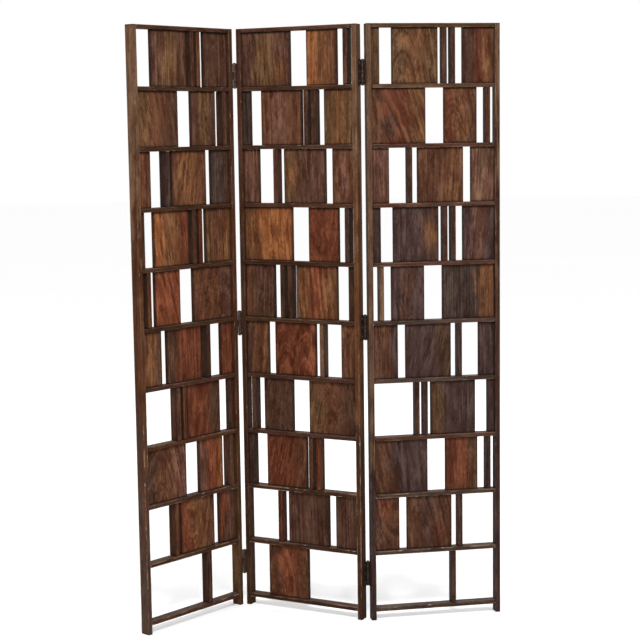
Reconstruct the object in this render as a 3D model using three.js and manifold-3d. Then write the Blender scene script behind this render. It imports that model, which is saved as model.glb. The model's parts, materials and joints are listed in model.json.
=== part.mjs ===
// A three-panel folding screen in dark hardwood, standing on its feet in a zig-zag.
// Each panel is two slim stiles and eleven rails. The rails make ten rows, and each row is filled
// with upright boards and narrow bars, with gaps left open between them. Three butt hinges join
// each pair of panels. Millimetres, +Z up, the front faces -Y.

import * as THREE from 'three';
import { mergeVertices } from 'three/addons/utils/BufferGeometryUtils.js';
import Module from 'manifold-3d';

const wasm = await Module();
wasm.setup();

// ---- driving dimensions ----

const PANEL_WIDTH = 413;
const PANEL_HEIGHT = 1829;
const FRAME_DEPTH = 33;          // stiles and rails, front to back
const STILE_WIDTH = 15;
const RAIL_HEIGHT = 12;
const FOOT_HEIGHT = 27;          // from the floor to the underside of the bottom rail
const ROWS = 10;
const BAR_WIDTH = 15;
const BAR_DEPTH = 31;            // bars and boards stand in the middle of the frame's depth
const BOARD_DEPTH = 12;
const STAGGER = 1.2;             // from first to last in a row, no two stand quite in line
const EASE = 1.2;                // eased edges of stiles, rails and bars
const FIT = 0.3;                 // clearance between pieces that touch
const HOUSING = 4;               // how far boards and bars are let into the rail they stand on
const WELD_DISTANCE = 1e-4;      // points closer than this are one point

// ---- folds and hinges ----

const MIDDLE_TURN = -27.5;       // degrees about Z, from the X axis
const LEFT_FOLD = 76.3;          // degrees from flat, towards the front
const RIGHT_FOLD = 37.8;         // degrees from flat, towards the back
const JOINT_GAP = 8;             // between neighbouring stiles when flat
const AXIS_PROUD = 4;            // hinge axis, outside the face that folds in
const HINGE_HEIGHT = 76;
const HINGE_CENTRES = [142, 914, 1686];
const KNUCKLES = 3;
const KNUCKLE_RADIUS = 4.5;
const BORE_RADIUS = 2.8;
const PIN_RADIUS = 2.5;
const PIN_HEAD_RADIUS = 4.2;
const PIN_HEAD_HEIGHT = 1.6;
const LEAF_REACH = 24;           // from the axis to the leaf's free edge
const LEAF_THICKNESS = 1.8;
const BORE_OVERRUN = 1;          // the bore's cutter passes this far beyond the knuckles
const ROUND_SIDES = 20;

// ---- row patterns: widths from the left stile's inner face to the right one's ----
// board(w) and bar are pieces, gap(w) is open.

const board = (width) => ({ kind: 'board', width });
const gap = (width) => ({ kind: 'gap', width });
const bar = { kind: 'bar', width: BAR_WIDTH };

const ONE_BAR = [board(77), gap(24), board(143), gap(18), bar, gap(55), board(51)];
const BAR_AT_STILE = [board(168), gap(57), board(103), gap(25), bar, gap(15)];
const TWO_BARS = [board(27), gap(38), board(142), gap(11), bar, gap(11), bar, gap(24), board(100)];

const ROW_WIDTH = PANEL_WIDTH - 2 * STILE_WIDTH;
const NUDGE = 3;                 // some rows stand this much further to one side

const turned = (row) => [...row].reverse();
const widened = (piece, by) => ({ ...piece, width: piece.width + by });
const nudged = (row, by) => [widened(row[0], by), ...row.slice(1, -1), widened(row.at(-1), -by)];
const open = (piece) => gap(piece.width);
const without = (row, ...places) => row.map((piece, i) => (places.includes(i) ? open(piece) : piece));
const loneBar = (start) => [gap(start), bar, gap(ROW_WIDTH - start - BAR_WIDTH)];

const ONE_BAR_TURNED = nudged(turned(ONE_BAR), NUDGE);
const BAR_AT_STILE_TURNED = nudged(turned(BAR_AT_STILE), NUDGE);
const TWO_BARS_TURNED = nudged(turned(TWO_BARS), NUDGE);
const TWO_BARS_LEFT = nudged(TWO_BARS, -2 * NUDGE);

// The bottom row holds a single bar or board.
const PANELS = {
  left: [
    without(TWO_BARS, 0), BAR_AT_STILE, turned(ONE_BAR), TWO_BARS_LEFT, BAR_AT_STILE_TURNED,
    ONE_BAR, without(TWO_BARS_TURNED, 0), BAR_AT_STILE, without(ONE_BAR_TURNED, 0), loneBar(246),
  ],
  middle: [
    BAR_AT_STILE, TWO_BARS, ONE_BAR_TURNED, BAR_AT_STILE, TWO_BARS_TURNED,
    ONE_BAR, BAR_AT_STILE_TURNED, without(TWO_BARS, 8), without(turned(ONE_BAR), 0),
    without(TWO_BARS, 0, 4, 6, 8),
  ],
  right: [
    TWO_BARS, BAR_AT_STILE, ONE_BAR_TURNED, TWO_BARS, BAR_AT_STILE_TURNED,
    ONE_BAR, without(TWO_BARS_TURNED, 0), BAR_AT_STILE, without(ONE_BAR, 6), loneBar(240),
  ],
};

const ROW_PITCH = (PANEL_HEIGHT - RAIL_HEIGHT - FOOT_HEIGHT) / ROWS;
const railBottom = (index) => PANEL_HEIGHT - RAIL_HEIGHT - index * ROW_PITCH;

// ---- materials ----

const wood = (color) => new THREE.MeshStandardMaterial({ color, roughness: 0.55, metalness: 0 });
const FRAME_WOOD = wood(0x5a3d2a);
const BOARD_WOOD = wood(0x6b4228);
const HINGE_METAL = new THREE.MeshStandardMaterial({ color: 0x3a3733, roughness: 0.45, metalness: 0.85 });

// ---- solids ----

function weld(geometry) {
  geometry.deleteAttribute('normal');
  geometry.deleteAttribute('uv');
  return mergeVertices(geometry, WELD_DISTANCE);
}

function toSolid(geometry) {
  const welded = weld(geometry);
  return new wasm.Manifold(new wasm.Mesh({
    numProp: 3,
    vertProperties: new Float32Array(welded.attributes.position.array),
    triVerts: new Uint32Array(welded.index.array),
  }));
}

function toGeometry(solid) {
  const mesh = solid.getMesh();
  const geometry = new THREE.BufferGeometry();
  geometry.setAttribute('position', new THREE.BufferAttribute(mesh.vertProperties, 3));
  geometry.setIndex(new THREE.BufferAttribute(mesh.triVerts, 1));
  return geometry;
}

// A rectangle with eased corners, from the origin.
function easedOutline(width, depth) {
  const outline = new THREE.Shape();
  outline.moveTo(EASE, 0);
  outline.lineTo(width - EASE, 0);
  outline.lineTo(width, EASE);
  outline.lineTo(width, depth - EASE);
  outline.lineTo(width - EASE, depth);
  outline.lineTo(EASE, depth);
  outline.lineTo(0, depth - EASE);
  outline.lineTo(0, EASE);
  outline.closePath();
  return outline;
}

// Upright sticks stand on [x, y, z] and measure [width, depth, height].
function uprightStick([x, y, z], [width, depth, height]) {
  const outline = easedOutline(width, depth);
  const geometry = new THREE.ExtrudeGeometry(outline, { depth: height, bevelEnabled: false });
  return geometry.translate(x, y, z);
}

// A stile's ends show, so they are eased too.
function uprightPost([x, y, z], [width, depth, height]) {
  const geometry = new THREE.ExtrudeGeometry(easedOutline(width, depth), {
    depth: height - 2 * EASE,
    bevelEnabled: true,
    bevelThickness: EASE,
    bevelSize: EASE,
    bevelOffset: -EASE,
    bevelSegments: 1,
  });
  return geometry.translate(x, y, z + EASE);
}

function levelStick([x, y, z], [width, depth, height]) {
  const outline = easedOutline(height, depth);
  const geometry = new THREE.ExtrudeGeometry(outline, { depth: width, bevelEnabled: false });
  geometry.rotateY(Math.PI / 2);
  return geometry.translate(x, y, z + height);
}

function plainBoard([x, y, z], [width, depth, height]) {
  const geometry = new THREE.BoxGeometry(width, depth, height);
  return geometry.translate(x + width / 2, y + depth / 2, z + height / 2);
}

function uprightCylinder(radius, bottom, top) {
  const geometry = new THREE.CylinderGeometry(radius, radius, top - bottom, ROUND_SIDES);
  geometry.rotateX(Math.PI / 2);
  geometry.translate(0, 0, (top + bottom) / 2);
  return geometry;
}

function piece(name, geometry, material) {
  const mesh = new THREE.Mesh(geometry, material);
  mesh.name = name;
  return mesh;
}

// ---- one panel: x from its outer left edge, y from its front face, z from the floor ----

function stile(x) {
  return weld(uprightPost([x, 0, 0], [STILE_WIDTH, FRAME_DEPTH, PANEL_HEIGHT]));
}

function rail(index) {
  const start = STILE_WIDTH + FIT;
  const length = PANEL_WIDTH - 2 * start;
  return levelStick([start, 0, railBottom(index)], [length, FRAME_DEPTH, RAIL_HEIGHT]);
}

// A rail and the boards and bars that stand on it, up to the rail above.
function row(index, pieces) {
  const foot = railBottom(index + 1) + RAIL_HEIGHT - HOUSING;
  const height = railBottom(index) - FIT - foot;
  let solid = toSolid(rail(index + 1));
  let x = STILE_WIDTH;
  pieces.forEach(({ kind, width }, place) => {
    const start = Math.max(x, STILE_WIDTH + FIT);
    const end = Math.min(x + width, PANEL_WIDTH - STILE_WIDTH - FIT);
    const depth = kind === 'bar' ? BAR_DEPTH : BOARD_DEPTH;
    const set = STAGGER * (place / pieces.length - 0.5);
    const front = (FRAME_DEPTH - depth) / 2 + set;
    const shape = kind === 'bar' ? uprightStick : plainBoard;
    if (kind !== 'gap') {
      solid = solid.add(toSolid(shape([start, front, foot], [end - start, depth, height])));
    }
    x += width;
  });
  return toGeometry(solid);
}

function panel(side) {
  const group = new THREE.Group();
  group.add(piece(`${side}_left_stile`, stile(0), FRAME_WOOD));
  group.add(piece(`${side}_right_stile`, stile(PANEL_WIDTH - STILE_WIDTH), FRAME_WOOD));
  group.add(piece(`${side}_top_rail`, weld(rail(0)), FRAME_WOOD));
  PANELS[side].forEach((pieces, index) => {
    group.add(piece(`${side}_row_${index + 1}`, row(index, pieces), BOARD_WOOD));
  });
  return group;
}

// ---- one hinge: the axis along Z at the origin, the leaves reaching towards +Y ----

function leaf(side, keepsKnuckle) {
  const outside = JOINT_GAP / 2 - FIT;
  const inside = outside - LEAF_THICKNESS;
  const start = side > 0 ? inside : -outside;
  const bottom = -HINGE_HEIGHT / 2;
  let solid = toSolid(plainBoard([start, 0, bottom], [LEAF_THICKNESS, LEAF_REACH, HINGE_HEIGHT]));
  const knuckle = HINGE_HEIGHT / KNUCKLES;
  for (let i = 0; i < KNUCKLES; i += 1) {
    const low = bottom + i * knuckle;
    const high = low + knuckle;
    const shape = keepsKnuckle(i)
      ? toSolid(uprightCylinder(KNUCKLE_RADIUS, low + FIT / 2, high - FIT / 2))
      : toSolid(uprightCylinder(KNUCKLE_RADIUS + 2 * FIT, low - FIT, high + FIT));
    solid = keepsKnuckle(i) ? solid.add(shape) : solid.subtract(shape);
  }
  const boreEnd = HINGE_HEIGHT / 2 + BORE_OVERRUN;
  return toGeometry(solid.subtract(toSolid(uprightCylinder(BORE_RADIUS, -boreEnd, boreEnd))));
}

function pin() {
  const reach = HINGE_HEIGHT / 2 + FIT;
  const shaft = toSolid(uprightCylinder(PIN_RADIUS, -reach, reach));
  const top = toSolid(uprightCylinder(PIN_HEAD_RADIUS, reach, reach + PIN_HEAD_HEIGHT));
  const bottom = toSolid(uprightCylinder(PIN_HEAD_RADIUS, -reach - PIN_HEAD_HEIGHT, -reach));
  return toGeometry(shaft.add(top).add(bottom));
}

const isOuter = (i) => i % 2 === 0;
const isInner = (i) => i % 2 === 1;

// The middle panel carries the leaf with the outer knuckles, and the pin.
function hingesOfFold(name, fixed, swinging) {
  HINGE_CENTRES.forEach((z, i) => {
    const label = `${name}_hinge_${['low', 'mid', 'top'][i]}`;
    const parts = [
      [fixed, piece(`${label}_leaf_a`, leaf(1, isOuter), HINGE_METAL)],
      [fixed, piece(`${label}_pin`, pin(), HINGE_METAL)],
      [swinging, piece(`${label}_leaf_b`, leaf(-1, isInner), HINGE_METAL)],
    ];
    for (const [group, mesh] of parts) {
      mesh.position.z = z;
      group.add(mesh);
    }
  });
}

// ---- the screen: the middle panel, and a group turning about each fold's axis ----

const screen = new THREE.Group();
screen.rotation.z = THREE.MathUtils.degToRad(MIDDLE_TURN);

const middle = panel('middle');
middle.position.set(-PANEL_WIDTH / 2, -FRAME_DEPTH / 2, 0);
screen.add(middle);

const axisX = PANEL_WIDTH / 2 + JOINT_GAP / 2;
const axisY = FRAME_DEPTH / 2 + AXIS_PROUD;

// The left panel folds to the front, about an axis in front of its face.
const leftFold = new THREE.Group();
leftFold.position.set(-axisX, -axisY, 0);
leftFold.rotation.z = THREE.MathUtils.degToRad(LEFT_FOLD);
const left = panel('left');
left.position.set(-JOINT_GAP / 2 - PANEL_WIDTH, AXIS_PROUD, 0);
leftFold.add(left);

const leftAxis = new THREE.Group();
leftAxis.position.copy(leftFold.position);
hingesOfFold('left', leftAxis, leftFold);

// The right panel folds to the back, about an axis behind its back face.
const rightFold = new THREE.Group();
rightFold.position.set(axisX, axisY, 0);
rightFold.rotation.z = THREE.MathUtils.degToRad(RIGHT_FOLD);
const right = panel('right');
right.position.set(JOINT_GAP / 2, -AXIS_PROUD - FRAME_DEPTH, 0);
rightFold.add(right);

// At the back the hinges are turned round, so their leaves reach towards the front.
const rightAxis = new THREE.Group();
rightAxis.position.copy(rightFold.position);
rightAxis.rotation.z = Math.PI;
const rightLeaves = new THREE.Group();
rightLeaves.rotation.z = Math.PI;
rightFold.add(rightLeaves);
hingesOfFold('right', rightAxis, rightLeaves);

screen.add(leftFold, leftAxis, rightFold, rightAxis);

// The origin is on the floor, under the middle of the standing screen's box.
const standing = new THREE.Group();
standing.add(screen);
const box = new THREE.Box3().setFromObject(standing, true);
const centre = box.getCenter(new THREE.Vector3());
screen.position.set(-centre.x, -centre.y, -box.min.z);

export default standing;
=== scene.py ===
"""Looks of a three-panel folding screen in dark hardwood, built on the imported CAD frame.

Every stick and board is a mesh of its own with eased, slightly uneven edges, and carries the
coordinates of the log that it was sawn from, so the grain runs through it from face to edge to end.
Metres, +Z up, the front faces -Y. A panel's own frame has X across it, Y from its front face to its
back, and Z from the floor.
"""
import json
import math

import bpy
import numpy as np
from mathutils import Matrix, Vector


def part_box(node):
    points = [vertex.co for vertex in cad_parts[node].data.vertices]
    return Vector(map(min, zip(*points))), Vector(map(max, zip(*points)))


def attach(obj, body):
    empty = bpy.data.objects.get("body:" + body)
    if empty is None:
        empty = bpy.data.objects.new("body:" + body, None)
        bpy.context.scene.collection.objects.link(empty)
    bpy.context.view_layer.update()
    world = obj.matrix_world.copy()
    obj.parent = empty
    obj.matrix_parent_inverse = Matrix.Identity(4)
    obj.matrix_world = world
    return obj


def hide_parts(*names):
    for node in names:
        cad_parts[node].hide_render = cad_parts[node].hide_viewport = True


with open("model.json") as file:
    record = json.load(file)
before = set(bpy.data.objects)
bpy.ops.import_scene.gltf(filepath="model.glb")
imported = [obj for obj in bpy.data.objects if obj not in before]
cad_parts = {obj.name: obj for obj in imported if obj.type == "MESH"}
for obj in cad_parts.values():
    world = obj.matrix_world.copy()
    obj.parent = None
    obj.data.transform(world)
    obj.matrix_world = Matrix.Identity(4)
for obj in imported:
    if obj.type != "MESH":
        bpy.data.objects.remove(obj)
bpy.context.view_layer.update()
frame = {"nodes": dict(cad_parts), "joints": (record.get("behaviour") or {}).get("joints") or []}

MM = 0.001

# ---- dimensions that the frame's nodes are built from ----

PANEL_WIDTH = 413 * MM
PANEL_HEIGHT = 1829 * MM
FRAME_DEPTH = 33 * MM
STILE_WIDTH = 15 * MM
RAIL_HEIGHT = 12 * MM
FIT = 0.3 * MM                 # clearance between touching pieces
JOINT_GAP = 8 * MM             # between neighbouring panels when they are flat
AXIS_PROUD = 4 * MM            # from a panel's face to its fold's axis
ROWS = 10

HINGE_HEIGHT = 76 * MM
LEAF_REACH = 24 * MM
LEAF_THICKNESS = 1.8 * MM
KNUCKLE_RADIUS = 4.5 * MM
BORE_RADIUS = 2.8 * MM
PIN_RADIUS = 2.5 * MM
PIN_HEAD_RADIUS = 4.2 * MM
PIN_HEAD_HEIGHT = 1.6 * MM
SCREW_HEIGHTS = (-28 * MM, 0, 28 * MM)     # from the hinge's middle
SCREW_RADIUS = 3.3 * MM

# ---- where each panel stands: worked out from the two fold axes and their limits ----

FOLDS = {joint["name"]: joint for joint in frame["joints"]}


def turn(angle):
    return Matrix.Rotation(angle, 4, "Z")


def axis_of(fold):
    x, y, _ = FOLDS[fold]["pos_m"]
    return Vector((x, y, 0))


def angle_of(vector):
    return math.atan2(vector.y, vector.x)


ACROSS_MIDDLE = Vector((PANEL_WIDTH + JOINT_GAP, FRAME_DEPTH + 2 * AXIS_PROUD, 0))
MIDDLE_ANGLE = angle_of(axis_of("right_fold") - axis_of("left_fold")) - angle_of(ACROSS_MIDDLE)
LEFT_ANGLE = MIDDLE_ANGLE - math.radians(FOLDS["left_fold"]["range_deg"][0])
RIGHT_ANGLE = MIDDLE_ANGLE - math.radians(FOLDS["right_fold"]["range_deg"][0])


def standing_at(fold, angle, x, y):
    """The frame whose point (-x, -y) is on a fold's axis."""
    return Matrix.Translation(axis_of(fold)) @ turn(angle) @ Matrix.Translation((x, y, 0))


PANELS = {
    "left": standing_at("left_fold", LEFT_ANGLE, -JOINT_GAP / 2 - PANEL_WIDTH, AXIS_PROUD),
    "middle": standing_at("left_fold", MIDDLE_ANGLE, JOINT_GAP / 2, AXIS_PROUD),
    "right": standing_at("right_fold", RIGHT_ANGLE, JOINT_GAP / 2, -AXIS_PROUD - FRAME_DEPTH),
}

# ---- tones of the wood, in sRGB, before the lightness of the piece that they are on ----

TONES = {
    "umber": (0.290, 0.197, 0.150),
    "coffee": (0.318, 0.215, 0.172),
    "chestnut": (0.353, 0.225, 0.160),
    "russet": (0.372, 0.204, 0.140),
    "rust": (0.440, 0.246, 0.168),
    "amber": (0.412, 0.270, 0.178),
    "gold": (0.500, 0.305, 0.185),
    "olive": (0.362, 0.258, 0.175),
    "ash": (0.340, 0.262, 0.225),
    "plum": (0.290, 0.213, 0.198),
    "rose": (0.392, 0.262, 0.212),
    "tan": (0.440, 0.325, 0.250),
    "slate": (0.268, 0.208, 0.183),
}

SHARE = 0.61                   # of every tone, to suit the light of this scene
DARKEST = 0.003
BOARD_LIGHTNESS = {"left": 1.12, "middle": 1.05, "right": 0.82}
BAR_LIGHTNESS = 0.8            # against the boards
FRAME_LIGHTNESS = {"left": 0.84, "middle": 0.84, "right": 0.62}

# taken off every tone in linear light, so one below zero is added: on boards, and on deeper pieces.
# The right panel's are below zero: a painted grey sheen.
BOARD_OFFSET = {"left": 0.0, "middle": 0.0, "right": -0.004}
DEEP_OFFSET = {"left": 0.004, "middle": 0.004, "right": -0.001}


def look(*tones, figure="straight", glued=None, patch=None, knot=None, worn=None):
    """A piece's finish: tones from its left edge to its right, or from one end of a rail or stile to
    the other, the figure of its grain, where across it two staves are glued, a patch (tone, across,
    along), a knot (across, along) and the stretch of its length whose edges are scuffed. Places are
    shares of the width and length."""
    return dict(tones=tones, figure=figure, glued=glued, patch=patch, knot=knot, worn=worn)


# the boards and bars of each panel, row by row from the top, each row from left to right
LOOKS = {
    "left": [
        [look("coffee", "olive", "umber", figure="streaked"), look("coffee"), look("chestnut"),
         look("umber", "umber", "umber", knot=(0.45, 0.82))],
        [look("olive", "chestnut", "umber", figure="slanted"),
         look("coffee", "olive", "coffee", knot=(0.6, 0.5)), look("coffee")],
        [look("chestnut"), look("plum"), look("chestnut", "amber", "chestnut", figure="streaked"),
         look("slate", "slate", "umber")],
        [look("coffee"), look("gold", "amber", "russet", figure="slanted"), look("coffee"),
         look("russet"), look("olive", "chestnut", "amber")],
        [look("chestnut"), look("rust", "rust", "rust", figure="slanted"),
         look("chestnut", "chestnut", "coffee", figure="cathedral")],
        [look("chestnut", "amber", "coffee", figure="streaked"), look("umber", "russet", "russet"),
         look("umber"), look("russet", "russet", "russet")],
        [look("rose"), look("chestnut"),
         look("russet", "russet", "umber", figure="slanted", patch=("rust", 0.35, 0.6)),
         look("coffee")],
        [look("umber", "chestnut", "rose", figure="mottled"),
         look("rose", "rust", "gold", figure="streaked"), look("rose")],
        [look("chestnut"), look("rust", "amber", "chestnut", figure="cathedral"),
         look("russet", "coffee", "coffee", patch=("rust", 0.3, 0.75))],
        [look("coffee")],
    ],
    "middle": [
        [look("coffee", "olive", "coffee", figure="streaked", patch=("amber", 0.8, 0.3)),
         look("gold", "amber", "chestnut", glued=0.62), look("coffee")],
        [look("slate"), look("chestnut", "rose", "chestnut", figure="streaked"), look("coffee"),
         look("coffee"), look("olive", "amber", "olive", figure="streaked")],
        [look("rose"), look("rose"),
         look("olive", "coffee", "coffee", figure="streaked", patch=("amber", 0.2, 0.55)),
         look("chestnut", "rose", "chestnut", figure="streaked")],
        [look("amber", "gold", "gold", figure="streaked", glued=0.12),
         look("russet", "russet", "russet", figure="cathedral"), look("plum")],
        [look("chestnut", "coffee", "umber", knot=(0.55, 0.55)), look("umber"), look("umber"),
         look("amber", "rust", "amber", figure="streaked"), look("umber")],
        [look("coffee", "chestnut", "amber", figure="streaked"),
         look("russet", "russet", "rust", figure="cathedral", glued=0.5), look("tan"),
         look("rose", "chestnut", "chestnut", knot=(0.5, 0.8))],
        [look("coffee"), look("umber", "coffee", "umber", figure="mottled"),
         look("olive", "chestnut", "umber", figure="cathedral")],
        [look("plum"), look("russet", "russet", "chestnut", figure="slanted"), look("chestnut"),
         look("rust")],
        [look("russet"), look("coffee", "coffee", "umber"), look("umber", "coffee", "umber")],
        [look("chestnut", "rust", "chestnut", figure="cathedral")],
    ],
    "right": [
        [look("olive"), look("olive", "amber", "olive", figure="cathedral"), look("coffee"),
         look("coffee"), look("coffee", "russet", "amber", figure="streaked")],
        [look("chestnut", "russet", "amber", figure="slanted", patch=("coffee", 0.35, 0.35)),
         look("russet", "amber", "chestnut", figure="cathedral"), look("chestnut")],
        [look("rose"), look("coffee"), look("chestnut", "chestnut", "amber", figure="streaked"),
         look("rose", "tan", "rose", figure="streaked")],
        [look("plum"), look("plum", "plum", "coffee", patch=("amber", 0.85, 0.5)), look("coffee"),
         look("coffee"), look("plum", "rose", "plum", figure="streaked")],
        [look("tan"), look("plum", "coffee", "plum", figure="mottled"),
         look("slate", "slate", "amber")],
        [look("rose", "chestnut", "plum"), look("plum", "plum", "umber", figure="slanted"),
         look("plum"), look("plum")],
        [look("coffee"), look("plum"), look("olive", "plum", "plum"), look("plum")],
        [look("chestnut", "plum", "plum", figure="slanted"),
         look("russet", "rust", "olive", figure="streaked"), look("plum")],
        [look("rose", "chestnut", "chestnut", figure="cathedral", patch=("rust", 0.4, 0.85)),
         look("chestnut", "coffee", "chestnut", figure="mottled", patch=("russet", 0.7, 0.25)),
         look("coffee")],
        [look("coffee")],
    ],
}

# A log's axis against the board: how far behind the face and to the side it lies, how steeply it
# tilts to the front or back and to a side, and how far the rings wander.
FIGURES = {
    "straight": {"depth": 60 * MM, "aside": 150 * MM, "rise": 0.03, "lean": 0.01, "wander": 7 * MM},
    "streaked": {"depth": 70 * MM, "aside": 90 * MM, "rise": 0.06, "lean": 0.03, "wander": 12 * MM},
    "slanted": {"depth": 70 * MM, "aside": 60 * MM, "rise": 0.08, "lean": 0.20, "wander": 13 * MM},
    "cathedral": {"depth": 36 * MM, "aside": 0.0, "rise": 0.22, "lean": 0.02, "wander": 9 * MM},
    "mottled": {"depth": 60 * MM, "aside": 30 * MM, "rise": 0.15, "lean": 0.08, "wander": 22 * MM},
}

# ---- meshes ----

ARC_STEPS = 2                  # flats in each rounded corner
EDGE_BAND = 3.2 * MM           # how far wear reaches from an edge
FLAT_STEP = 15 * MM            # between points across a face
WIDE_PIECE = 20 * MM           # any wider piece has WIDE_STEP between its rings of points
WIDE_STEP = 13 * MM
NARROW_STEP = 7 * MM
FRAME_EASE = 1.1 * MM          # radius of the edges
BAR_EASE = 1.2 * MM
BOARD_EASE = 0.9 * MM
SHARP_ANGLE = math.radians(50)

UNEVENNESS = 0.25 * MM         # waves are up to half as deep
WAVE_LENGTHS = (0.31, 0.12, 0.047)
WAVE_PHASES = (0, 6.28)
NICK_SPACING = 0.05            # a nick for each such length of a piece
NICK_REACH = (0.003, 0.009)    # about half the length of the shortest nick and of the longest
NICK_POINTS = 1.5              # about half a nick's width, in points round the outline
NICK_DEPTH = 2.2               # times the unevenness, for the deepest
NICK_SHARES = (0.4, 1.0)       # of that depth

UNSCUFFED = 0.25               # wear of an edge that isn't scuffed, as a share of one that is
SCUFF_FADE = 0.06              # of the piece's length
BOARD_THICKEST = 20 * MM       # any deeper piece is a bar or part of the frame
BAR_RIM_INSET = 2.5 * MM           # how much narrower a bar's painted dark rim, of shade and grime, is than a board's
PATCH_REACH = (26 * MM, 46 * MM)
KNOT_REACH = (9 * MM, 14 * MM)
NOWHERE = (50.0, 50.0)         # far off the piece

# ranges from which a piece's place in its log is drawn
HEART_ACROSS = (0.15, 0.85)    # of the width
DEPTH_TIMES = (0.8, 1.2)       # times what the figure says, like the two below
RISE_TIMES = (0.7, 1.2)
LEAN_TIMES = (0.6, 1.3)
LOG_PLACES = (1, 40)           # along the log
RING_SHIFTS = (0, 50)          # of the rings' pattern, outwards


def spaced(start, end, step):
    """Values from start to end, about a step apart, with both ends."""
    return np.linspace(start, end, max(1, round((end - start) / step)) + 1)


def section(width, depth, radius):
    """A rounded rectangle's points, anticlockwise from the origin, and 1 for those in its corners."""
    near, far_x, far_y = radius, width - radius, depth - radius
    sides = [
        ((0, 0), (width, 0), (far_x, near)),
        ((width, 0), (width, depth), (far_x, far_y)),
        ((width, depth), (0, depth), (near, far_y)),
        ((0, depth), (0, 0), (near, near)),
    ]
    points, rounded = [], []
    for quarter, (start, end, centre) in enumerate(sides):
        start, end = np.array(start), np.array(end)
        length = np.linalg.norm(end - start)
        band = min(EDGE_BAND, length / 3)
        for t in spaced(band, length - band, FLAT_STEP):
            points.append(start + (end - start) * t / length)
            rounded.append(0.0)
        for k in range(ARC_STEPS + 1):
            angle = math.pi / 2 * (quarter - 1 + k / ARC_STEPS)
            points.append(centre + radius * np.array((math.cos(angle), math.sin(angle))))
            rounded.append(1.0)
    return np.array(points), np.array(rounded)


def stick(name, width, depth, length, ease, step, unevenness, rng):
    """A mesh with a corner at the origin: width along X, depth along Y, length along Z.
    With it comes 1 for each point on its eased edges, and 0 for the others."""
    outline, rounded = section(width, depth, ease)
    middle = np.array((width / 2, depth / 2))
    size = np.array((width, depth))
    flat, sharp = np.zeros_like(rounded), np.ones_like(rounded)
    end = [(EDGE_BAND, 0, flat), (0.8 * ease, 0, sharp),
           (0.25 * ease, 0.3 * ease, sharp), (0, ease, sharp)]
    rings = list(end)
    rings += [(0, z, rounded) for z in spaced(EDGE_BAND + ease, length - EDGE_BAND - ease, step)]
    rings += [(inset, length - z, edge) for inset, z, edge in reversed(end)]
    verts = np.array([
        np.column_stack((middle + (outline - middle) * (1 - 2 * inset / size),
                         np.full(len(outline), z)))
        for inset, z, _ in rings
    ])
    edges = np.array([edge for _, _, edge in rings])
    verts[..., :2] += uneven(verts, edges, middle, unevenness, rng)
    n, last = len(outline), len(rings) - 1
    faces = [list(range(n))[::-1], [last * n + j for j in range(n)]]
    for i in range(last):
        for j in range(n):
            k = (j + 1) % n
            faces.append([i * n + j, i * n + k, (i + 1) * n + k, (i + 1) * n + j])
    mesh = bpy.data.meshes.new(name)
    mesh.from_pydata(verts.reshape(-1, 3).tolist(), [], faces)
    mesh.shade_smooth()
    mesh.set_sharp_from_angle(angle=SHARP_ANGLE)
    return mesh, edges.reshape(-1)


def uneven(verts, edges, middle, amount, rng):
    """Small inward moves of a stick's points: slow waves on its faces and nicks on its edges."""
    z = verts[..., 2]
    length = z.max()
    count = verts.shape[1]
    inward = middle - verts[..., :2]
    inward /= np.linalg.norm(inward, axis=-1, keepdims=True) + 1e-9
    wave = np.zeros_like(z)
    for wavelength in WAVE_LENGTHS:
        around = np.arctan2(inward[..., 1], inward[..., 0])
        phase = rng.uniform(*WAVE_PHASES)
        turns = rng.integers(1, 3)
        wave += np.sin(2 * math.pi * z / wavelength + phase + around * turns) / 3
    nick = np.zeros_like(z)
    for _ in range(int(length / NICK_SPACING)):
        column = rng.integers(0, count)
        at = rng.uniform(0, length)
        reach = rng.uniform(*NICK_REACH)
        near = np.exp(-((z - at) / reach) ** 2)
        away = np.abs((np.arange(count) - column + count // 2) % count - count // 2)
        near = near * np.exp(-(away[None, :] / NICK_POINTS) ** 2)
        nick = np.maximum(nick, near * rng.uniform(*NICK_SHARES))
    move = amount * (0.5 + 0.5 * wave) * 0.5 + amount * NICK_DEPTH * nick * edges
    return inward * move[..., None]


def write(mesh, name, kind, values):
    attribute = mesh.attributes.new(name, kind, "CORNER")
    key = "vector" if kind == "FLOAT_VECTOR" else "value"
    attribute.data.foreach_set(key, np.asarray(values, np.float32).ravel())


def linear(tone, lightness, offset):
    """The base colour that a tone gives on a piece of some lightness."""
    light = [((c + 0.055) / 1.055) ** 2.4 for c in TONES[tone]]
    return tuple(max(SHARE * lightness * (c - offset), DARKEST) for c in light)


def spot(across, along, size, at, half_width, half_height):
    """Places relative to a spot's middle, with its rim 1 away."""
    x = (across - at[0]) * size[0] / half_width
    z = (along - at[1]) * size[2] / half_height
    return np.column_stack((x, z, np.zeros(len(x))))


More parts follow.
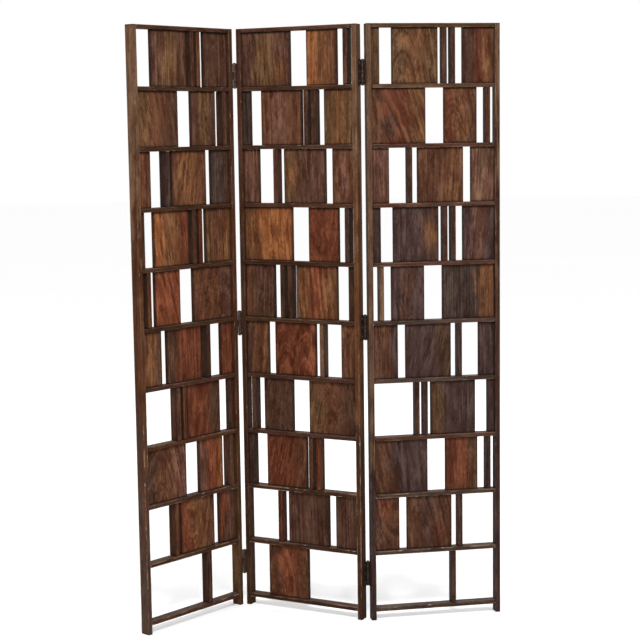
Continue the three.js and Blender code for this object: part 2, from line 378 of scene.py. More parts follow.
def sawn(mesh, edges, size, finish, rng, light, tones_along):
    """Gives a stick the attributes that the wood material reads. light holds its lightness and its
    offset, and tones_along is true where its tones run along it and not across."""
    width, depth, length = size
    loops = np.zeros(len(mesh.loops), int)
    mesh.loops.foreach_get("vertex_index", loops)
    points = np.array([v.co for v in mesh.vertices])[loops]
    across, along = points[:, 0] / width, points[:, 2] / length
    face_across = [face.center.x / width for face in mesh.polygons]
    face_across = np.repeat(face_across, [face.loop_total for face in mesh.polygons])
    second_stave = face_across > (finish["glued"] or 1)

    figure = FIGURES[finish["figure"]]
    log = np.zeros((len(points), 3))
    for stave in (False, True):
        way = rng.choice((-1, 1))
        heart_x = width * rng.uniform(*HEART_ACROSS) + way * figure["aside"]
        heart_y = depth + figure["depth"] * rng.uniform(*DEPTH_TIMES)
        rise = figure["rise"] * rng.choice((-1, 1)) * rng.uniform(*RISE_TIMES)
        lean = figure["lean"] * rng.choice((-1, 1)) * rng.uniform(*LEAN_TIMES)
        z = points[:, 2] - length / 2
        place = np.column_stack((points[:, 0] - heart_x - lean * z,
                                 points[:, 1] - heart_y - rise * z,
                                 z + rng.uniform(*LOG_PLACES)))
        log[second_stave == stave] = place[second_stave == stave]

    def everywhere(value):
        return np.tile(value, (len(points), 1))

    tones = finish["tones"]
    start, mid, end = tones[0], tones[len(tones) // 2], tones[-1]
    patch_tone, *patch_at = finish["patch"] or (mid, *NOWHERE)
    patch = spot(across, along, size, patch_at, *PATCH_REACH)
    knot = spot(across, along, size, finish["knot"] or NOWHERE, *KNOT_REACH)
    scuffed = np.interp(along, *worn_steps(finish["worn"]))
    write(mesh, "log", "FLOAT_VECTOR", log)
    write(mesh, "wander", "FLOAT", everywhere(figure["wander"]))
    write(mesh, "shift", "FLOAT", everywhere(rng.uniform(*RING_SHIFTS)))
    write(mesh, "edge", "FLOAT", edges[loops] * scuffed)
    # distances to the ends and sides, where the painted shade and grime fall
    write(mesh, "to_end", "FLOAT", np.minimum(points[:, 2], length - points[:, 2]))
    to_side = np.minimum(points[:, 0], width - points[:, 0])
    write(mesh, "to_side", "FLOAT", to_side + (BAR_RIM_INSET if depth > BOARD_THICKEST else 0))
    write(mesh, "spread", "FLOAT", along if tones_along else across)
    write(mesh, "tone_a", "FLOAT_VECTOR", everywhere(linear(start, *light)))
    write(mesh, "tone_b", "FLOAT_VECTOR", everywhere(linear(mid, *light)))
    write(mesh, "tone_c", "FLOAT_VECTOR", everywhere(linear(end, *light)))
    write(mesh, "patch", "FLOAT_VECTOR", patch)
    write(mesh, "patch_tone", "FLOAT_VECTOR", everywhere(linear(patch_tone, *light)))
    write(mesh, "knot", "FLOAT_VECTOR", knot)


def worn_steps(worn):
    """Places along a stick and how scuffed its edges are there: all over, or more over one stretch."""
    if worn is None:
        return (0, 1), (UNSCUFFED, UNSCUFFED)
    low, high = worn
    return (low - SCUFF_FADE, low, high, high + SCUFF_FADE), (UNSCUFFED, 1.0, 1.0, UNSCUFFED)


# ---- materials ----

class Graph:
    """Short ways to add nodes to a material."""

    def __init__(self, name):
        self.material = bpy.data.materials.new(name)
        self.material.use_nodes = True
        self.tree = self.material.node_tree
        self.shader = self.tree.nodes["Principled BSDF"]

    def add(self, kind, settings=None, inputs=None):
        node = self.tree.nodes.new("ShaderNode" + kind)
        for key, value in (settings or {}).items():
            setattr(node, key, value)
        for key, value in (inputs or {}).items():
            self.set(node.inputs[key], value)
        return node

    def set(self, socket, value):
        if isinstance(value, bpy.types.NodeSocket):
            self.tree.links.new(value, socket)
        else:
            socket.default_value = value

    def math(self, operation, *values, clamp=False):
        node = self.add("Math", {"operation": operation, "use_clamp": clamp})
        for socket, value in zip(node.inputs, values):
            self.set(socket, value)
        return node.outputs[0]

    def vector(self, operation, *values):
        node = self.add("VectorMath", {"operation": operation})
        for socket, value in zip(node.inputs, values):
            self.set(socket, value)
        return node.outputs["Value" if operation == "LENGTH" else "Vector"]

    def attribute(self, name, output="Fac"):
        return self.add("Attribute", {"attribute_name": name}).outputs[output]

    def grain(self, at, across, along, detail, roughness, output="Fac"):
        """Noise whose clouds are about so wide across the log's axis and so long along it."""
        squeezed = self.vector("MULTIPLY", at, (1 / across, 1 / across, 1 / along))
        node = self.add("TexNoise", None, {"Vector": squeezed, "Scale": 1.0, "Detail": detail,
                                           "Roughness": roughness})
        return node.outputs[output]

    def rings(self, radius, width, detail, roughness):
        """Noise that changes only with the distance from the log's axis."""
        node = self.add("TexNoise", {"noise_dimensions": "1D"},
                        {"W": radius, "Scale": 1 / width, "Detail": detail, "Roughness": roughness})
        return node.outputs["Fac"]

    def steps(self, value, low, high, start=0.0, end=1.0):
        """start below low, end above high, and smooth between."""
        node = self.add("MapRange", {"interpolation_type": "SMOOTHSTEP"},
                        {"Value": value, "From Min": low, "From Max": high,
                         "To Min": start, "To Max": end})
        return node.outputs["Result"]

    def blend(self, share, a, b, kind="MIX"):
        node = self.add("Mix", {"data_type": "RGBA", "blend_type": kind})
        for socket, value in zip((node.inputs[0], node.inputs[6], node.inputs[7]), (share, a, b)):
            self.set(socket, value)
        return node.outputs[2]

    def ramp(self, value, stops):
        node = self.add("ValToRGB", None, {"Fac": value})
        elements = node.color_ramp.elements
        while len(elements) < len(stops):
            elements.new(0.5)
        for element, (at, colour) in zip(elements, stops):
            element.position = at
            element.color = (*colour, 1)
        return node.outputs["Color"]

    def bump(self, height, distance, strength, over=None):
        inputs = {"Height": height, "Distance": distance, "Strength": strength}
        if over is not None:
            inputs["Normal"] = over
        return self.add("Bump", None, inputs).outputs["Normal"]

    def shade(self, **inputs):
        for key, value in inputs.items():
            self.set(self.shader.inputs[key.replace("_", " ")], value)


# painted shade, with some grime, at the ends and sides of the pieces
SHADE_AND_GRIME = (0.013, 0.007, 0.005, 1)
PORE = (0.012, 0.007, 0.005, 1)
KNOT = (0.018, 0.009, 0.006, 1)
RUBBED = (0.17, 0.100, 0.060, 1)
BARE = (0.34, 0.27, 0.22, 1)
# dust, and a painted highlight, on faces that look up
DUST_AND_HIGHLIGHT = (0.24, 0.20, 0.17, 1)
RUST_SPOT = (0.030, 0.020, 0.014, 1)
BROWN_GLOSS = (1.0, 0.70, 0.55, 1)

# noise in the wood: its size across the log's axis and along it, its detail and its roughness
GRAINS = {
    "drift": (62 * MM, 200 * MM, 3.0, 0.55),
    "streaks": (5 * MM, 75 * MM, 3.0, 0.6),
    "fibres": (0.8 * MM, 38 * MM, 2.0, 0.6),
    "pores": (0.45 * MM, 14 * MM, 1.0, 0.5),
    "bands": (16 * MM, 80 * MM, 2.0, 0.5),
    "flecks": (3.5 * MM, 13 * MM, 3.0, 0.65),
    "clarity": (34 * MM, 60 * MM, 2.0, 0.5),
    "clouds": (40 * MM, 90 * MM, 3.0, 0.6),
    "ragged": (2.4 * MM, 9 * MM, 3.0, 0.6),
    "rubbed": (16 * MM, 70 * MM, 3.0, 0.65),
    "chips": (6 * MM, 22 * MM, 4.0, 0.7),
}
RING_WIDTH = 7.5 * MM
KNOT_SWELL = 16 * MM           # how far a knot pushes the rings aside
RING_WEIGHT = 0.24             # of the figure, as are the four below
STREAK_WEIGHT = 0.20
BAND_WEIGHT = 0.24
FLECK_WEIGHT = 0.24
FIBRE_WEIGHT = 0.08
CLOUD_WEIGHT = 0.40            # added to the figure
CLARITY = (4.2, 9.5)           # how strong the figure is, where it is faint and where it is clear
SHADES = [(0.0, (0.54, 0.48, 0.46)), (0.30, (0.79, 0.75, 0.74)), (0.60, (1.03, 1.01, 1.0)),
          (1.0, (1.60, 1.70, 1.66))]     # what a tone is multiplied by along the figure


def wood(name, contrast, wear, side_shade_and_grime, roughness):
    """Oiled dark hardwood: growth rings about the log's heart, streaks, fibres and pores along it,
    tones that drift across the piece, knots, painted shade and grime at the ends and sides, wear on
    the edges, and dust with a painted highlight on what faces up."""
    g = Graph(name)
    log = g.attribute("log", "Vector")
    knot = g.vector("LENGTH", g.attribute("knot", "Vector"))

    drift = g.vector("SUBTRACT", g.grain(log, *GRAINS["drift"], "Color"), (0.5, 0.5, 0.5))
    drift = g.add("VectorMath", {"operation": "SCALE"},
                  {"Vector": drift, "Scale": g.attribute("wander")})
    place = g.vector("ADD", log, drift.outputs["Vector"])
    radius = g.vector("LENGTH", g.vector("MULTIPLY", place, (1.0, 1.0, 0.0)))
    swell = g.steps(knot, 0.2, 2.6, KNOT_SWELL, 0.0)
    radius = g.math("ADD", g.math("ADD", radius, swell), g.attribute("shift"))

    # the figure: from 0 where the wood is darkest to 1 where it is palest
    rings = g.rings(radius, RING_WIDTH, 3.0, 0.60)
    streaks = g.grain(place, *GRAINS["streaks"])
    fibres = g.grain(log, *GRAINS["fibres"])
    pores = g.steps(g.grain(log, *GRAINS["pores"]), 0.60, 0.72)
    bands = g.grain(place, *GRAINS["bands"])
    flecks = g.grain(place, *GRAINS["flecks"])
    clarity = g.grain(log, *GRAINS["clarity"])
    clouds = g.steps(g.grain(log, *GRAINS["clouds"]), 0.32, 0.68)

    figure = g.math("MULTIPLY", rings, RING_WEIGHT)
    figure = g.math("MULTIPLY_ADD", streaks, STREAK_WEIGHT, figure)
    figure = g.math("MULTIPLY_ADD", bands, BAND_WEIGHT, figure)
    figure = g.math("MULTIPLY_ADD", flecks, FLECK_WEIGHT, figure)
    figure = g.math("MULTIPLY_ADD", fibres, FIBRE_WEIGHT, figure)
    figure = g.math("SUBTRACT", figure, 0.5)
    figure = g.math("MULTIPLY_ADD", figure, g.steps(clarity, 0.35, 0.65, *CLARITY), 0.52)
    about = g.math("SUBTRACT", clouds, 0.5)
    figure = g.math("MULTIPLY_ADD", about, CLOUD_WEIGHT, figure, clamp=True)

    # the tone: three along the spread, and the patch's
    spread = g.math("MULTIPLY_ADD", g.math("SUBTRACT", clouds, 0.5), 0.22, g.attribute("spread"))
    spread = g.math("MULTIPLY_ADD", g.math("SUBTRACT", rings, 0.5), 0.5, spread)
    first, second, third = (g.attribute(f"tone_{letter}", "Color") for letter in "abc")
    tone = g.blend(g.steps(spread, 0.18, 0.42), first, second)
    tone = g.blend(g.steps(spread, 0.58, 0.82), tone, third)
    patch = g.vector("LENGTH", g.attribute("patch", "Vector"))
    patch = g.math("MULTIPLY_ADD", g.math("SUBTRACT", rings, 0.5), 2.2, patch)
    tone = g.blend(g.steps(patch, 0.35, 1.1, 1.0, 0.0), tone, g.attribute("patch_tone", "Color"))

    shades = [(at, tuple(1 + (c - 1) * contrast for c in colour)) for at, colour in SHADES]
    colour = g.blend(1.0, tone, g.ramp(figure, shades), "MULTIPLY")
    colour = g.blend(g.math("MULTIPLY", pores, 0.45), colour, PORE)
    colour = g.blend(g.steps(knot, 0.25, 1.0, 0.75, 0.0), colour, KNOT)

    # painted shade, with grime, along the ends and sides: under the rails and beside the gaps
    ragged = g.math("SUBTRACT", g.grain(log, *GRAINS["ragged"]), 0.5)
    at_end = g.math("MULTIPLY_ADD", ragged, 4 * MM, g.attribute("to_end"))
    colour = g.blend(g.steps(at_end, 0.5 * MM, 6.5 * MM, 0.85, 0.0), colour, SHADE_AND_GRIME)
    at_side = g.math("MULTIPLY_ADD", ragged, 3 * MM, g.attribute("to_side"))
    colour = g.blend(g.steps(at_side, 0.3 * MM, 6 * MM, side_shade_and_grime, 0.0), colour, SHADE_AND_GRIME)

    # wear on the edges
    edge = g.math("MULTIPLY", g.attribute("edge"), wear)
    rubbed = g.steps(g.grain(log, *GRAINS["rubbed"]), 0.44, 0.66)
    colour = g.blend(g.math("MULTIPLY", edge, rubbed), colour, RUBBED)
    chips = g.steps(g.grain(log, *GRAINS["chips"]), 0.57, 0.68)
    colour = g.blend(g.math("MULTIPLY", edge, chips), colour, BARE)

    # dust, and a painted highlight, on what faces up
    normal = g.add("NewGeometry").outputs["Normal"]
    up = g.add("SeparateXYZ", None, {"Vector": normal}).outputs["Z"]
    dust_and_highlight = g.math("MULTIPLY", g.steps(up, 0.6, 1.0), g.math("MULTIPLY_ADD", clouds, 0.15, 0.03))
    colour = g.blend(dust_and_highlight, colour, DUST_AND_HIGHLIGHT)

    rough = g.math("MULTIPLY_ADD", figure, -0.10, roughness)
    rough = g.math("MULTIPLY_ADD", clouds, 0.12, rough)
    rough = g.math("MULTIPLY_ADD", dust_and_highlight, 0.3, rough, clamp=True)
    fine = g.bump(g.math("MULTIPLY_ADD", pores, -0.8, fibres), 0.12 * MM, 0.6)
    normal = g.bump(g.math("MULTIPLY_ADD", clouds, 0.4, rings), 0.5 * MM, 0.35, over=fine)
    g.shade(Base_Color=colour, Roughness=rough, Normal=normal, Specular_IOR_Level=0.025,
            Specular_Tint=BROWN_GLOSS)
    return g.material


def steel(name, base, worn, roughness):
    """Dark aged steel: clouds of a base and a worn colour, with spots of rust."""
    g = Graph(name)
    at = g.add("TexCoord").outputs["Object"]
    clouds = g.steps(g.grain(at, 6 * MM, 6 * MM, 4.0, 0.6), 0.46, 0.68)
    spots = g.grain(at, 1.1 * MM, 1.1 * MM, 3.0, 0.6)
    colour = g.blend(clouds, (*base, 1), (*worn, 1))
    colour = g.blend(g.steps(spots, 0.60, 0.70, 0.0, 0.6), colour, RUST_SPOT)
    rough = g.math("MULTIPLY_ADD", clouds, -0.10, roughness)
    rough = g.math("MULTIPLY_ADD", g.steps(spots, 0.5, 0.7), 0.2, rough)
    g.shade(Base_Color=colour, Roughness=rough, Normal=g.bump(spots, 0.08 * MM, 0.5), Metallic=0.15,
            Specular_IOR_Level=0.15, Specular_Tint=BROWN_GLOSS)
    return g.material


def plain_floor():
    """Nearly even and nearly white."""
    g = Graph("pale_floor")
    cloud = g.grain(g.add("TexCoord").outputs["Object"], 1.5, 1.5, 3.0, 0.5)
    colour = g.ramp(cloud, [(0.0, (0.97, 0.97, 0.97)), (1.0, (0.99, 0.99, 0.99))])
    g.shade(Base_Color=colour, Roughness=0.9)
    return g.material


# boards get painted shade, with grime, along their sides; the frame gets it only at its ends
BOARD_WOOD = wood("board_wood", contrast=1.05, wear=0.4, side_shade_and_grime=0.78, roughness=0.54)
FRAME_WOOD = wood("frame_wood", contrast=0.75, wear=1.0, side_shade_and_grime=0.0, roughness=0.56)
BLACK_STEEL = steel("black_steel", (0.012, 0.008, 0.006), (0.034, 0.025, 0.020), 0.55)
BARREL_STEEL = steel("barrel_steel", (0.024, 0.014, 0.011), (0.078, 0.048, 0.039), 0.56)
SCREW_STEEL = steel("screw_steel", (0.040, 0.036, 0.034), (0.16, 0.15, 0.14), 0.42)

# ---- pieces ----


def seeded(name):
    """The same random draws for the same name on every run."""
    return np.random.default_rng([sum(ord(c) * (i + 1) for i, c in enumerate(name))])


def put(name, mesh, matrix, body, material, slot, *nodes):
    """Places a piece on its body, and in place of the CAD nodes that are named; its slot is not used.
    The material goes on a mesh that has none."""
    piece = bpy.data.objects.new(name, mesh)
    bpy.context.scene.collection.objects.link(piece)
    piece.matrix_world = matrix
    if not mesh.materials:
        mesh.materials.append(material)
    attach(piece, body)
    if nodes:
        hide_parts(*nodes)


def timber(name, side, corner, size, finish, material, slot, nodes=(), level=False, ease=FRAME_EASE):
    """An upright stick standing on corner, or a level one starting there and running along X."""
    rng = seeded(name)
    width, depth, length = size
    step = WIDE_STEP if width > WIDE_PIECE else NARROW_STEP
    mesh, edges = stick(name, width, depth, length, ease, step, UNEVENNESS, rng)
    framing = material == FRAME_WOOD
    deep = depth > BOARD_THICKEST
    lightness = (FRAME_LIGHTNESS if framing else BOARD_LIGHTNESS)[side]
    if deep and not framing:
        lightness *= BAR_LIGHTNESS
    offset = (DEEP_OFFSET if deep else BOARD_OFFSET)[side]
    sawn(mesh, edges, size, finish, rng, (lightness, offset), tones_along=framing)
    matrix = PANELS[side] @ Matrix.Translation(corner)
    if level:
        matrix = matrix @ Matrix.Translation((0, 0, width)) @ Matrix.Rotation(math.pi / 2, 4, "Y")
    put(name, mesh, matrix, f"{side}_panel", material, slot, *nodes)


TOP_BAND = 0.1 * MM            # the highest faces reach no further down from the top than this


def standing_in(side, row):
    """The row's boards and bars from left to right, as (left, right, front, back, top) in the panel's
    frame: the islands that the highest faces of its CAD node make."""
    mesh = frame["nodes"][f"{side}_row_{row}"].data
    local = PANELS[side].inverted()
    points = [tuple(round(c, 5) for c in local @ v.co) for v in mesh.vertices]
    top = max(z for _, _, z in points)
    faces = [{points[i] for i in face.vertices} for face in mesh.polygons]
    islands = []
    for face in faces:
        if min(z for _, _, z in face) > top - TOP_BAND:
            touching = [island for island in islands if island & face]
            islands = [island for island in islands if island not in touching]
            islands.append(face.union(*touching))
    spans = []
    for island in islands:
        xs, ys = [p[0] for p in island], [p[1] for p in island]
        spans.append((min(xs), max(xs), min(ys), max(ys), top))
    return sorted(spans)


# the tone of each rail, from the top
RAIL_LOOKS = {
    "left": ["umber", "umber", "umber", "umber", "umber", "umber",
             "coffee", "chestnut", "coffee", "umber", "coffee"],
    "middle": ["coffee", "umber", "coffee", "coffee", "umber", "umber",
               "coffee", "coffee", "umber", "umber", "umber"],
    "right": ["olive", "tan", "rose", "rose", "rose", "ash", "ash", "rose", "ash", "ash", "ash"],
}
SCUFFED_FROM = 8               # this rail and those below it, with the top rail as 0, are scuffed

# the left and right stile of each panel, from the foot up; their paler tops are partly painted light
# from above
STILE_LOOKS = {
    "left": (look("ash", "chestnut", "tan", worn=(0.08, 0.34)), look("olive", "chestnut", "coffee")),
    "middle": (look("umber", "umber", "coffee"), look("umber", "amber", "tan", worn=(0.02, 0.30))),
    "right": (look("plum", "tan", "tan"), look("plum", "coffee", "tan")),
}


def build_panel(side):
    """Stiles, rails, and the boards and bars on each rail but the top one."""
    for at, finish in zip(("left", "right"), STILE_LOOKS[side]):
        x = 0 if at == "left" else PANEL_WIDTH - STILE_WIDTH
        name = f"{side}_{at}_stile"
        timber(f"{side}_{at}_upright", side, (x, 0, 0), (STILE_WIDTH, FRAME_DEPTH, PANEL_HEIGHT),
               finish, FRAME_WOOD, "frame_wood", [name])
    rail_length = PANEL_WIDTH - 2 * (STILE_WIDTH + FIT)
    rails = [f"{side}_top_rail"] + [f"{side}_row_{i + 1}" for i in range(ROWS)]
    for i, name in enumerate(rails):
        low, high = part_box(name)
        bottom = high.z - RAIL_HEIGHT if i == 0 else low.z
        finish = look(RAIL_LOOKS[side][i], worn=(0.0, 1.0) if i >= SCUFFED_FROM else None)
        timber(f"{side}_rail_{i}", side, (STILE_WIDTH + FIT, 0, bottom),
               (RAIL_HEIGHT, FRAME_DEPTH, rail_length), finish, FRAME_WOOD, "frame_wood", [name],
               level=True)
        if i == 0:
            continue
        spans = standing_in(side, i)
        finishes = LOOKS[side][i - 1]
        if len(spans) != len(finishes):
            raise ValueError(f"{name} holds {len(spans)} pieces")
        foot = bottom + RAIL_HEIGHT
        for k, ((left, right, front, back, top), finish) in enumerate(zip(spans, finishes)):
            size = (right - left, back - front, top - foot)
            is_bar = back - front > BOARD_THICKEST
            kind, ease = ("bar", BAR_EASE) if is_bar else ("board", BOARD_EASE)
            timber(f"{side}_{kind}_{i}_{k + 1}", side, (left, front, foot), size, finish,
                   BOARD_WOOD, "board_wood", ease=ease)


for side in PANELS:
    build_panel(side)

# ---- hinges: the axis along Z at the origin, the leaves reaching towards +Y ----

ROUND_STEPS = 40               # flats round a knuckle, pin or screw
HOLE_STEPS = 24
KNUCKLE = HINGE_HEIGHT / 3
KNUCKLE_CHAMFER = 0.4 * MM
LEAF_FACE = JOINT_GAP / 2 - FIT - LEAF_THICKNESS      # from the axis
LEAF_CORNER = 1.6 * MM
LEAF_EASE = 0.25 * MM
HOLE_RADIUS = 3.5 * MM
PIN_HEAD_LIP = 0.3 * MM
SCREW_ACROSS = 15 * MM                                # from the axis
SLOT_LENGTH = 1.15             # of the screw's radius
SLOT_WIDTH = 0.26              # of the screw's radius
SLOT_DEPTH = 0.75 * MM
SLOT_TURN = 0.9                # from one screw to the next
SHARP_METAL_ANGLE = math.radians(35)


def lathe(name, profile):
    """A solid of revolution about Z. The profile's (radius, height) points run round a ring's section,
    or from the axis to the axis."""
    solid = profile[0][0] == 0
    middle = profile[1:-1] if solid else profile
    angles = [2 * math.pi * k / ROUND_STEPS for k in range(ROUND_STEPS)]
    verts = [(r * math.cos(a), r * math.sin(a), z) for r, z in middle for a in angles]
    n, rings = ROUND_STEPS, len(middle)
    faces = []
    for i in range(rings - 1 if solid else rings):
        for k in range(n):
            j, m = (i + 1) % rings, (k + 1) % n
            faces.append((i * n + k, i * n + m, j * n + m, j * n + k))
    if solid:
        verts += [(0, 0, profile[0][1]), (0, 0, profile[-1][1])]
        low, high, last = len(verts) - 2, len(verts) - 1, (rings - 1) * n
        faces += [(low, (k + 1) % n, k) for k in range(n)]
        faces += [(high, last + k, last + (k + 1) % n) for k in range(n)]
    mesh = bpy.data.meshes.new(name)
    mesh.from_pydata(verts, [], faces)
    return mesh


def as_mesh(made):
    """The mesh that an object has once its curve or modifiers are worked out."""
    depsgraph = bpy.context.evaluated_depsgraph_get()
    return bpy.data.meshes.new_from_object(made.evaluated_get(depsgraph))


def plate(name, outline, holes, thickness, ease):
    """A plate with eased edges and round holes, from (y, z) points. It lies between x = 0 and
    x = thickness."""
    curve = bpy.data.curves.new(name, "CURVE")
    curve.dimensions, curve.fill_mode = "2D", "BOTH"
    curve.extrude, curve.bevel_depth, curve.bevel_resolution = thickness / 2 - ease, ease, 1
    curve.offset = -ease
    angles = np.linspace(0, 2 * math.pi, HOLE_STEPS, False)
    rounds = [[(y + r * math.cos(a), z + r * math.sin(a)) for a in angles] for y, z, r in holes]
    for points in [outline, *rounds]:
        spline = curve.splines.new("POLY")
        spline.points.add(len(points) - 1)
        for point, (y, z) in zip(spline.points, points):
            point.co = (y, z, 0, 1)
        spline.use_cyclic_u = True
    made = bpy.data.objects.new(name, curve)
    bpy.context.scene.collection.objects.link(made)
    bpy.context.view_layer.update()
    mesh = as_mesh(made)
    bpy.data.objects.remove(made)
    standing = Matrix(((0, 0, 1, 0), (1, 0, 0, 0), (0, 1, 0, 0), (0, 0, 0, 1)))
    mesh.transform(standing)
    mesh.transform(Matrix.Translation((thickness / 2, 0, 0)))
    return mesh


def combined(name, base, others, operation="UNION"):
    """The first mesh joined with, or cut by, the others."""
    objects = [bpy.data.objects.new(f"{name}_{i}", mesh) for i, mesh in enumerate([base, *others])]
    for part in objects:
        bpy.context.scene.collection.objects.link(part)
    for part in objects[1:]:
        modifier = objects[0].modifiers.new("combine", "BOOLEAN")
        modifier.operation, modifier.solver, modifier.object = operation, "EXACT", part
    bpy.context.view_layer.update()
    mesh = as_mesh(objects[0])
    for part in objects:
        bpy.data.objects.remove(part)
    mesh.name = name
    return mesh


def finished(mesh, *materials):
    """The mesh with smooth rounds, sharp corners and just these materials."""
    mesh.shade_smooth()
    mesh.set_sharp_from_angle(angle=SHARP_METAL_ANGLE)
    mesh.materials.clear()
    for material in materials:
        mesh.materials.append(material)
    return mesh


def leaf_mesh(side, keeps):
    """A leaf on the +X side (1) or the -X side (-1) of the axis, with its knuckles. keeps says which
    of the three knuckles, counted from below, are its own."""
    half = HINGE_HEIGHT / 2
    outline = [(LEAF_REACH - LEAF_CORNER, -half), (LEAF_REACH, -half + LEAF_CORNER),
               (LEAF_REACH, half - LEAF_CORNER), (LEAF_REACH - LEAF_CORNER, half),
               (0, half), (0, -half)]
    holes = [(SCREW_ACROSS, z, HOLE_RADIUS) for z in SCREW_HEIGHTS]
    mesh = plate(f"leaf_{side}", outline, holes, LEAF_THICKNESS, LEAF_EASE)
    mesh.transform(Matrix.Translation((LEAF_FACE, 0, 0)))
    if side < 0:
        mesh.transform(Matrix.Scale(-1, 4, (1, 0, 0)))
        mesh.flip_normals()
    inner, room = KNUCKLE_RADIUS - KNUCKLE_CHAMFER, KNUCKLE_RADIUS + 2 * FIT
    rings, notches = [], []
    for i in range(3):
        low = -half + i * KNUCKLE
        high = low + KNUCKLE
        if i in keeps:
            low, high = low + FIT / 2, high - FIT / 2
            rings.append(lathe("knuckle", [
                (BORE_RADIUS, low), (inner, low), (KNUCKLE_RADIUS, low + KNUCKLE_CHAMFER),
                (KNUCKLE_RADIUS, high - KNUCKLE_CHAMFER), (inner, high), (BORE_RADIUS, high)]))
        else:
            low, high = low - FIT, high + FIT
            notches.append(lathe("notch", [(0, low), (room, low), (room, high), (0, high)]))
    bore = lathe("bore", [(0, -half - FIT), (BORE_RADIUS, -half - FIT),
                          (BORE_RADIUS, half + FIT), (0, half + FIT)])
    mesh = combined(f"leaf_{side}", mesh, [*notches, bore], "DIFFERENCE")
    mesh = finished(combined(f"leaf_{side}", mesh, rings), BLACK_STEEL, BARREL_STEEL)
    barrel = KNUCKLE_RADIUS + 0.05 * MM
    for face in mesh.polygons:
        face.material_index = int(math.hypot(face.center.x, face.center.y) < barrel)
    return mesh


def pin_mesh():
    """A pin with a domed head at each end."""
    reach, rise = HINGE_HEIGHT / 2 + FIT, PIN_HEAD_HEIGHT
    button = [(PIN_RADIUS, reach), (PIN_HEAD_RADIUS - PIN_HEAD_LIP, reach),
              (PIN_HEAD_RADIUS, reach + 0.3 * rise), (0.9 * PIN_HEAD_RADIUS, reach + 0.65 * rise),
              (0.6 * PIN_HEAD_RADIUS, reach + 0.92 * rise)]
    top = [*button, (0, reach + rise)]
    bottom = [(r, -z) for r, z in reversed(top)]
    return finished(lathe("hinge_pin", bottom + top), BARREL_STEEL)


def screw_mesh():
    """A countersunk head with a crossed slot, facing +Z, its rim at the origin's height."""
    r, long, wide = SCREW_RADIUS, SLOT_LENGTH * SCREW_RADIUS, SLOT_WIDTH * SCREW_RADIUS
    head = lathe("screw", [(0, -1.4 * MM), (0.62 * r, -1.4 * MM), (0.97 * r, -0.2 * MM), (r, 0),
                           (0.95 * r, 0.10 * MM), (0.6 * r, 0.26 * MM), (0, 0.32 * MM)])
    faces = [(3, 2, 1, 0), (4, 5, 6, 7), (0, 1, 5, 4), (1, 2, 6, 5), (2, 3, 7, 6), (3, 0, 4, 7)]
    slots = []
    for width, depth in ((long, wide), (wide, long)):
        box = [(x * width / 2, y * depth / 2, z) for z in (-SLOT_DEPTH, 1 * MM)
               for x, y in ((-1, -1), (1, -1), (1, 1), (-1, 1))]
        slot = bpy.data.meshes.new("slot")
        slot.from_pydata(box, [], faces)
        slots.append(slot)
    return finished(combined("screw", head, slots, "DIFFERENCE"), SCREW_STEEL)


HINGE_MESHES = {
    "a": leaf_mesh(1, (0, 2)),
    "b": leaf_mesh(-1, (1,)),
    "pin": pin_mesh(),
    "screw": screw_mesh(),
}


def build_hinge(fold, at):
    """The middle panel carries leaf a and the pin, the outer panel leaf b."""
    name = f"{fold}_hinge_{at}"
    low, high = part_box(f"{name}_leaf_a")
    back = math.pi if fold == "right" else 0.0
    outer_angle = LEFT_ANGLE if fold == "left" else RIGHT_ANGLE
    centre = Matrix.Translation(axis_of(f"{fold}_fold") + Vector((0, 0, (low.z + high.z) / 2)))
    for key, side, angle, body in (("a", 1, MIDDLE_ANGLE, "middle_panel"),
                                   ("b", -1, outer_angle, f"{fold}_panel")):
        matrix = centre @ turn(angle + back)
        put(f"{name}_plate_{key}", HINGE_MESHES[key], matrix, body, None, "hinge_metal",
            f"{name}_leaf_{key}")
        for k, z in enumerate(SCREW_HEIGHTS):
            spot_on_leaf = Matrix.Translation((side * LEAF_FACE, SCREW_ACROSS, z))
            facing = Matrix.Rotation(-side * math.pi / 2, 4, "Y") @ turn(SLOT_TURN * k + side)
            put(f"{name}_screw_{key}{k + 1}", HINGE_MESHES["screw"],
                matrix @ spot_on_leaf @ facing, body, None, "hinge_metal")
    put(f"{name}_spindle", HINGE_MESHES["pin"], centre, "middle_panel", None, "hinge_metal",
        f"{name}_pin")


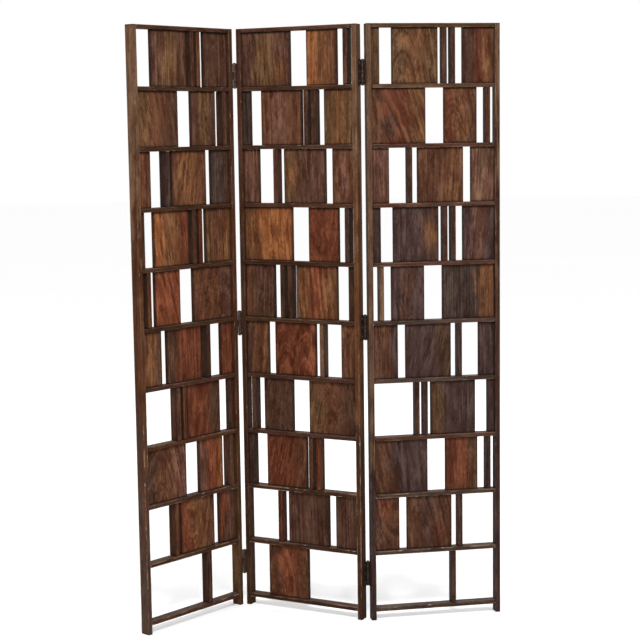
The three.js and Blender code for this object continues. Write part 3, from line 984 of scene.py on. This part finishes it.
for fold in ("left", "right"):
    for at in ("low", "mid", "top"):
        build_hinge(fold, at)


# ---- floor, light and camera ----

FLOOR_RADIUS = 30


def build_stage():
    """A pale floor under a white world."""
    bpy.ops.mesh.primitive_circle_add(vertices=96, radius=FLOOR_RADIUS, fill_type="NGON",
                                      location=(0, 0, 0))
    floor = bpy.context.object
    floor.name = "floor"
    floor.data.materials.append(plain_floor())
    world = bpy.data.worlds.new("white_studio")
    bpy.context.scene.world = world
    world.use_nodes = True
    background = world.node_tree.nodes["Background"]
    background.inputs["Color"].default_value = (1.0, 1.0, 1.0, 1)
    background.inputs["Strength"].default_value = 1.0


def soft_light(name, at, towards, size, power):
    """A white disk lamp. size is its diameter, and power is in watts."""
    light = bpy.data.lights.new(name, "AREA")
    light.shape = "DISK"
    light.size = size
    light.energy = power
    lamp = bpy.data.objects.new(name, light)
    bpy.context.scene.collection.objects.link(lamp)
    lamp.location = at
    lamp.rotation_euler = (Vector(towards) - Vector(at)).to_track_quat("-Z", "Y").to_euler()


CAMERA_PLACE = (0.0033, -4.8537, 1.5192)
CAMERA_TURN = math.radians(0.034)
CAMERA_DOWN = math.radians(6.847)
CAMERA_ROLL = math.radians(-0.817)
CAMERA_LENS = 89.57            # millimetres, as is the sensor
CAMERA_SENSOR = 36


def build_camera():
    camera = bpy.data.cameras.new("camera")
    camera.lens = CAMERA_LENS
    camera.sensor_width = CAMERA_SENSOR
    view = bpy.data.objects.new("camera", camera)
    bpy.context.scene.collection.objects.link(view)
    view.matrix_world = (Matrix.Translation(CAMERA_PLACE) @ turn(CAMERA_TURN)
                         @ Matrix.Rotation(math.pi / 2 - CAMERA_DOWN, 4, "X")
                         @ Matrix.Rotation(CAMERA_ROLL, 4, "Z"))
    bpy.context.scene.camera = view


build_stage()
soft_light("key", at=(0.2, -2.6, 3.2), towards=(0, 0, 1.2), size=1.0, power=120)
soft_light("back_fill", at=(1.4, 3.6, 2.6), towards=(0, 0, 1.0), size=2.0, power=45)
build_camera()
bpy.context.scene.view_settings.view_transform = "Standard"
